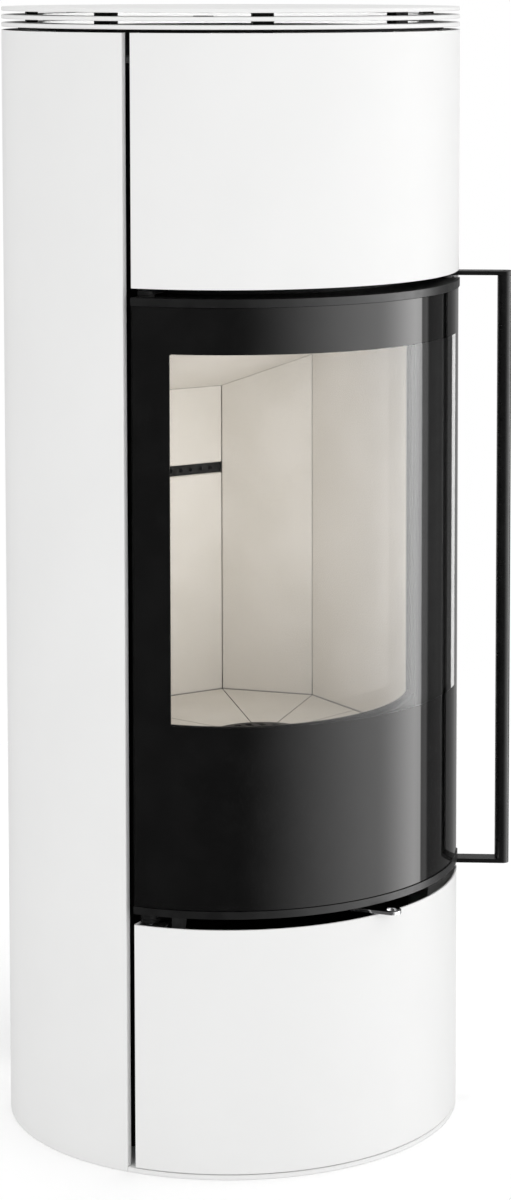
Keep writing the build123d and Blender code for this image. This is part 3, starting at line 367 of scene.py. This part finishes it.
# ---------------------------------------------------------------- the slots' materials
materials = {
    "white_enamel": enamel(),
    "black_steel": paint("black_steel", dark=grey(0.006), light=grey(0.011), rough=(0.5, 0.62),
                         grain=1400, depth=0.06 * mm, sheen=0.3),
    "rim_black": paint("rim_black", dark=grey(0.006), light=grey(0.011), rough=(0.3, 0.38),
                       grain=900, depth=0.03 * mm, edge=0.6 * mm),
    "handle_black": paint("handle_black", dark=grey(0.002), light=grey(0.005),
                          rough=(0.26, 0.34), grain=1100, depth=0.03 * mm, edge=0.6 * mm),
    "plain_steel": metal("plain_steel", dark=(0.17, 0.17, 0.175), light=(0.27, 0.27, 0.275),
                         rough=(0.44, 0.56), grain=900, depth=0.04 * mm),
    "chrome": metal("chrome", dark=(0.78, 0.78, 0.79), light=(0.86, 0.86, 0.87),
                    rough=(0.05, 0.09), grain=500, depth=0.01 * mm, edge=0.8 * mm),
    "cast_iron": paint("cast_iron", dark=(0.014, 0.013, 0.012), light=(0.035, 0.032, 0.03),
                       rough=(0.55, 0.72), grain=420, depth=0.3 * mm, edge=1.0 * mm),
    "vermiculite": vermiculite(),
    "printed_glass": clear_glass("door_glass", tint=(0.99, 0.987, 0.985), where=unprinted),
    "clear_glass": clear_glass("inner_glass", tint=(0.99, 0.992, 0.99), shine=inner_shine),
    "gasket_rope": rope(),
}
for node in nodes.values():
    for slot in node.material_slots:
        slot.material = materials[slot.material.name.split(".")[0]]


# ---------------------------------------------------------------- pieces
def new_object(name, mesh_builder, material, smooth=False):
    """A mesh object made by mesh_builder."""
    build = bmesh.new()
    mesh_builder(build)
    if smooth:
        for face in build.faces:
            face.smooth = True
    mesh = bpy.data.meshes.new(name)
    build.to_mesh(mesh)
    build.free()
    mesh.materials.append(material)
    piece = bpy.data.objects.new(name, mesh)
    bpy.context.scene.collection.objects.link(piece)
    return piece


def new_piece(name, mesh_builder, body, material, smooth=False):
    """A mesh object that rides on a body."""
    piece = new_object(name, mesh_builder, material, smooth)
    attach(piece, body)
    return piece


# The print's columns: three beside the window, a few round its corners, then even steps.
side_columns = (53.0, 50.5, 48.0)
corner_turns = range(0, 91, 15)
column_step, least_step = 1.5, 0.3


def print_angles():
    """Plan angles of the print's columns, closer together round the window's corners."""
    corner = [window_half_angle - window_corner_angle * (1 - math.cos(math.radians(turn)))
              for turn in corner_turns]
    even = [step * column_step for step in range(int(corner[-1] / column_step), -1, -1)]
    right = [print_half_angle, *side_columns, *corner]
    right += [angle for angle in even if angle < corner[-1] - least_step]
    left = [-angle for angle in right if angle > 0]
    return left + right[::-1]


def build_print(build):
    """The printed border: a curved sheet with a round-cornered window."""
    def heights(angle):
        """The sheet's lower edge, the window's two, and the sheet's upper edge."""
        near = max(0.0, min(1.0, (window_half_angle - abs(angle)) / window_corner_angle))
        inset = window_corner * (1 - math.sqrt(1 - (1 - near) ** 2))
        return (glass_low, window_low + inset, window_high - inset, glass_high)

    angles = print_angles()
    columns = [[[build.verts.new(plan(radius, angle, height)) for height in heights(angle)]
                for radius in (print_front, print_front - print_thick)] for angle in angles]
    for index in range(len(angles) - 1):
        beside = abs(angles[index] + angles[index + 1]) / 2 > window_half_angle
        (front_a, back_a), (front_b, back_b) = columns[index:index + 2]
        for row in (0, 1, 2) if beside else (0, 2):
            front = (front_a[row], front_b[row], front_b[row + 1], front_a[row + 1])
            back = (back_a[row], back_a[row + 1], back_b[row + 1], back_b[row])
            for corners in (front, back):
                build.faces.new(corners).smooth = True
        for row in (0, 3) if beside else (0, 1, 2, 3):
            build.faces.new((front_a[row], back_a[row], back_b[row], front_b[row]))
    bmesh.ops.recalc_face_normals(build, faces=build.faces)
    for edge in build.edges:
        edge.smooth = all(face.smooth for face in edge.link_faces)


new_piece("glass_print", build_print, "stove_door", glass_print())


# Screws. A ring is (radius, height above the seat), and the drive is sunk into the last one.
screw_turns = 48
same_point = 0.001 * mm
cross_reach, cross_half, cross_depth = 2.0 * mm, 0.54 * mm, 1.1 * mm
hex_half, hex_depth = 2.0 * mm, 1.6 * mm
recess_taper, recess_point = 0.82, 1.15      # the recess floor's width, and its point's depth
pan_height = 2.0 * mm
pan_rings = [(radius * mm, height * mm) for radius, height in (
    (4.0, 0.0), (4.0, 0.75), (3.85, 1.15), (3.5, 1.55), (2.95, 1.85), (2.4, 1.98))]
flush_head, flush_height, flush_chamfer, flush_shank = 5.5 * mm, 2.2 * mm, 0.3 * mm, 3.0 * mm


def solids_in(node):
    """The lowest and highest corner of each separate solid in a node."""
    build = bmesh.new()
    build.from_mesh(node.data)
    bmesh.ops.remove_doubles(build, verts=build.verts, dist=same_point)
    left = set(build.verts)
    found = []
    while left:
        reached = [left.pop()]
        island = []
        while reached:
            vert = reached.pop()
            island.append(vert.co.copy())
            for link in vert.link_edges:
                other = link.other_vert(vert)
                if other in left:
                    left.remove(other)
                    reached.append(other)
        found.append([Vector(side(point[axis] for point in island) for axis in range(3))
                      for side in (min, max)])
    build.free()
    return sorted(found, key=lambda corners: tuple(corners[0]))


def off_axis(turn, period):
    """The angle, in radians, between this direction and the nearest multiple of the period."""
    return math.radians(abs((turn + period / 2) % period - period / 2))


def cross(turn):
    """How far a cross recess reaches in this direction."""
    lean = off_axis(turn, 90)
    side_reach = cross_half / math.sin(lean) if lean else cross_reach
    return min(cross_reach / math.cos(lean), side_reach)


def hexagon(turn):
    """How far a hexagon recess reaches in this direction."""
    return hex_half / math.cos(off_axis(turn, 60))


def build_screw(build, seat, out, rings, outline, depth):
    """A screw on its seat, pointing out: its rings, then the recess with a floor that narrows."""
    side = out.orthogonal().normalized()
    up = out.cross(side)
    top = rings[-1][1]

    def ring(reach, height):
        points = []
        for step in range(screw_turns):
            turn = 360 * step / screw_turns
            angle = math.radians(turn)
            way = side * math.cos(angle) + up * math.sin(angle)
            points.append(build.verts.new(seat + way * reach(turn) + out * height))
        return points

    rows = [ring(lambda turn, radius=radius: radius, height) for radius, height in rings]
    rows.append(ring(outline, top))
    rows.append(ring(lambda turn: outline(turn) * recess_taper, top - depth))
    for low, high in zip(rows, rows[1:]):
        for step in range(screw_turns):
            after = (step + 1) % screw_turns
            build.faces.new((low[step], low[after], high[after], high[step]))
    point = build.verts.new(seat + out * (top - depth * recess_point))
    for step in range(screw_turns):
        build.faces.new((rows[-1][step], rows[-1][(step + 1) % screw_turns], point))
    build.faces.new(rows[0][::-1])


def build_rear_screws(build):
    """Pan heads with a cross recess, on the rear sheet."""
    for low, high in solids_in(nodes["rear_screws"]):
        seat = Vector(((low.x + high.x) / 2, high.y - pan_height, (low.z + high.z) / 2))
        build_screw(build, seat, Vector((0, 1, 0)), pan_rings, cross, cross_depth)


def build_handle_screws(build):
    """Flush heads with a hexagon recess, above the handle's upper arm and below its lower one."""
    solids = solids_in(nodes["handle_screws"])
    middle = sum(corner.z for corners in solids for corner in corners) / (2 * len(solids))
    for low, high in solids:
        way = 1 if low.z > middle else -1
        tip = low.z if way > 0 else high.z
        seat = Vector(((low.x + high.x) / 2, (low.y + high.y) / 2, tip))
        length = high.z - low.z
        rings = [(flush_shank, 0.0), (flush_shank, length - flush_height),
                 (flush_head, length - flush_height), (flush_head, length - flush_chamfer),
                 (flush_head - flush_chamfer, length)]
        build_screw(build, seat, Vector((0, 0, way)), rings, hexagon, hex_depth)


for name, node, builder, body, slot in (
    ("rear_screw_set", "rear_screws", build_rear_screws, "root", "plain_steel"),
    ("handle_screw_set", "handle_screws", build_handle_screws, "stove_door", "handle_black"),
):
    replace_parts(new_piece(name, builder, body, materials[slot]), node)


# The rope round the door's opening: a flattened braid, whose centre line is a rectangle with
# round corners laid on a cylinder.
rope_radius, rope_half_angle = 199.15 * mm, 51.92
rope_low, rope_high = 462.5 * mm, 893.8 * mm
rope_half_width, rope_half_thick = 3.5 * mm, 1.85 * mm
rope_corner, rope_corner_steps = 3.8 * mm, 6
rope_step, rope_pitch = 1.0 * mm, 6.0 * mm
rope_sides, rope_groove = 16, 0.22
rope_lobes = 2              # strands of one set on each half of the section
rope_squareness = 0.75      # 1 would make the section an oval


def rope_path():
    """Each point of the centre line, as (arc length, height), with the way to the opening."""
    half = math.radians(rope_half_angle) * rope_radius
    here = Vector((half, rope_low + rope_corner))
    points = []
    for side in range(4):
        along = Vector(((0, 1), (-1, 0), (0, -1), (1, 0))[side])
        inward = Vector((-along.y, along.x))
        length = (2 * half if side % 2 else rope_high - rope_low) - 2 * rope_corner
        count = round(length / rope_step)
        points += [(here + along * (length * step / count), inward) for step in range(count)]
        centre = here + along * length + inward * rope_corner
        for step in range(rope_corner_steps):
            turn = math.radians(90 * step / rope_corner_steps)
            outward = along * math.sin(turn) - inward * math.cos(turn)
            points.append((centre + outward * rope_corner, -outward))
        here = centre + along * rope_corner
    return points


def build_rope(build):
    """The braid: two sets of strands wind round the centre line, one each way."""
    rings = []
    for index, (point, inward) in enumerate(rope_path()):
        lay = math.pi * index * rope_step / rope_pitch
        ring = []
        for side in range(rope_sides):
            turn = 2 * math.pi * side / rope_sides
            strand = max(abs(math.cos(rope_lobes * turn + way * lay)) for way in (1, -1))
            swell = 1 - rope_groove * (1 - strand)
            across, out = (math.copysign(abs(part) ** rope_squareness, part) * swell
                           for part in (math.cos(turn), math.sin(turn)))
            place = point + inward * (across * rope_half_width)
            ring.append(build.verts.new(plan(rope_radius + out * rope_half_thick,
                                             math.degrees(place.x / rope_radius), place.y)))
        rings.append(ring)
    for low, high in zip(rings, rings[1:] + rings[:1]):
        for side in range(rope_sides):
            after = (side + 1) % rope_sides
            build.faces.new((low[side], low[after], high[after], high[side]))
    bmesh.ops.recalc_face_normals(build, faces=build.faces)


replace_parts(new_piece("door_rope", build_rope, "stove_door",
                      materials["gasket_rope"], smooth=True), "door_gasket")


# ---------------------------------------------------------------- world
# The even light is stronger from this direction, by this share.
light_angle, light_slope, light_lean = 50.0, 20.0, 0.145
# What gloss sees. Each curve is (from, to, level before, level after), by plan angle or by z.
box_levels = ((-30, 50, 0.12, 2.6), (45, 72, 0, 2.1))
box_by_height = ((-0.5, 0.05, 0.62, 1.3), (0.1, 0.35, 1.0, 0.2))
box_by_angle = ((73, 80, 1.0, 0.82), (79, 80.5, 1.0, 0.2))
box_end = (84, 87)
backdrop_level = (112, 130, 0.18, 0.34)
near_left_level = (-165, -130, 0.6, 0.0)


def studio():
    """White behind the stove, an even light round it, and one broad soft box in its gloss."""
    world = bpy.data.worlds.new("studio")
    bpy.context.scene.world = world
    tree = Tree(world)
    direction = tree.add("TexCoord").outputs["Generated"]
    towards = plan(math.cos(math.radians(light_slope)), light_angle,
                   math.sin(math.radians(light_slope)))
    even = tree.math("ADD", tree.math("MULTIPLY", tree.dot(direction, towards), light_lean), 1.0)

    x, y, z = tree.parts(direction)
    angle = tree.math("DEGREES", tree.plan_turn(x, y))
    beyond = tree.ramp(angle, *box_end)
    box = tree.product(tree.math("ADD", *(tree.ramp(angle, *curve) for curve in box_levels)),
                       *(tree.ramp(z, *curve) for curve in box_by_height),
                       *(tree.ramp(angle, *curve) for curve in box_by_angle),
                       tree.math("SUBTRACT", 1.0, beyond))
    backdrop = tree.ramp(tree.math("ABSOLUTE", angle), *backdrop_level)
    far_side = tree.math("MULTIPLY", backdrop, beyond)
    gloss = tree.math("ADD", tree.math("ADD", box, far_side), tree.ramp(angle, *near_left_level))

    path = tree.add("LightPath").outputs
    seen = tree.math("MAXIMUM", path["Is Camera Ray"], path["Is Transmission Ray"])
    level = tree.mix(path["Is Glossy Ray"], even, gloss, "FLOAT")
    level = tree.mix(seen, level, 1.0, "FLOAT")
    background = tree.add("Background", {"Color": white, "Strength": level})
    tree.output(background.outputs[0], "OutputWorld")


# ---------------------------------------------------------------- floor
floor_radius, floor_segments = 2.4, 96
floor_full, floor_gone = 0.5, 0.95 * floor_radius
floor_drop = 0.2 * mm
floor_glow = 0.12


def build_floor(build):
    bmesh.ops.create_circle(build, cap_ends=True, segments=floor_segments, radius=floor_radius)


def floor():
    """A pale floor that keeps the stove's shadow and runs out into the white."""
    material, tree = new_material("floor")
    x, y = tree.parts(tree.place())[:2]
    cover = tree.ramp(tree.plan_reach(x, y), floor_full, floor_gone, 1.0, 0.0)
    grain = tree.noise(scale=220, detail=3)
    pale = tree.principled(Base_Color=tree.tint(grain, dark=grey(0.93), light=grey(0.95)),
                           Roughness=0.9, Specular_IOR_Level=0.1,
                           Normal=tree.bump(grain, distance=0.1 * mm, strength=0.2))
    in_view = tree.add("LightPath").outputs["Is Camera Ray"]
    glow = tree.add("Emission", {"Color": white,
                                 "Strength": tree.math("MULTIPLY", in_view, floor_glow)})
    lit = tree.add("AddShader", {0: pale, 1: glow.outputs[0]}).outputs[0]
    clear = tree.add("BsdfTransparent").outputs[0]
    tree.output(tree.add("MixShader", {0: cover, 1: clear, 2: lit}).outputs[0])

    piece = new_object("floor", build_floor, material)
    piece.visible_glossy = False
    piece.location.z = -floor_drop


studio()
floor()


# ---------------------------------------------------------------- lamps
firebox_middle = 0.68
slot_radius, slot_middle = 246.5 * mm, 0.677
crown_middle = 1.2125
crown_pieces = ("vent_plate_lower", "vent_plate_upper", "top_plate", "crown_spacers")


def new_holder(name, data, place):
    """A lamp or a camera at this place."""
    holder = bpy.data.objects.new(name, data)
    holder.location = place
    bpy.context.scene.collection.objects.link(holder)
    return holder


def area_lamp(name, place, target, size, power, spread):
    """A soft light of this size, facing the target. Its first side is level."""
    lamp = bpy.data.lights.new(name, "AREA")
    lamp.shape = "RECTANGLE"
    lamp.size, lamp.size_y = size
    lamp.energy = power
    lamp.spread = math.radians(spread)
    holder = new_holder(name, lamp, place)
    holder.rotation_euler = (Vector(target) - Vector(place)).to_track_quat("-Z", "Y").to_euler()
    return holder


def point_lamp(name, place, radius, power):
    """A small round light."""
    lamp = bpy.data.lights.new(name, "POINT")
    lamp.shadow_soft_size = radius
    lamp.energy = power
    return new_holder(name, lamp, place)


firebox_fill = area_lamp("firebox_fill", place=(0.06, -0.13, firebox_middle),
                         target=(-0.05, 0.15, firebox_middle), size=(0.14, 0.36),
                         power=0.36, spread=120)
side_fill = area_lamp("side_fill", place=(-0.12, -0.09, firebox_middle),
                      target=(0.16, -0.06, firebox_middle), size=(0.08, 0.36),
                      power=0.03, spread=90)
slot_fill = area_lamp("slot_fill", place=plan(slot_radius, 55.8, slot_middle),
                      target=plan(slot_radius, 57.6, slot_middle), size=(0.005, 0.48),
                      power=0.02, spread=170)
crown_fill = point_lamp("crown_fill", place=(0, 0, crown_middle), radius=0.01, power=1.7)

# The light in the crown falls on the crown's own plates only.
crown_plates = bpy.data.collections.new("crown_plates")
for name in crown_pieces:
    crown_plates.objects.link(nodes[name])
crown_fill.light_linking.receiver_collection = crown_plates
for lamp in (firebox_fill, side_fill, slot_fill, crown_fill):
    lamp.visible_camera = False
    lamp.visible_glossy = False
    lamp.visible_transmission = False


# ---------------------------------------------------------------- camera
camera_place = (-1.774, -2.953, 1.2585)
camera_turn, camera_down = -32.53, 5.25
lens_length, sensor_width = 94.25, 36.0      # in millimetres
lens_shift = (-0.05, -0.28)                  # in lengths of the picture's longer side

camera = bpy.data.cameras.new("camera")
camera.lens, camera.sensor_width = lens_length, sensor_width
camera.shift_x, camera.shift_y = lens_shift
holder = new_holder("camera", camera, camera_place)
holder.rotation_euler = (math.radians(90 - camera_down), 0, math.radians(camera_turn))
bpy.context.scene.camera = holder
bpy.context.scene.view_settings.view_transform = "Standard"
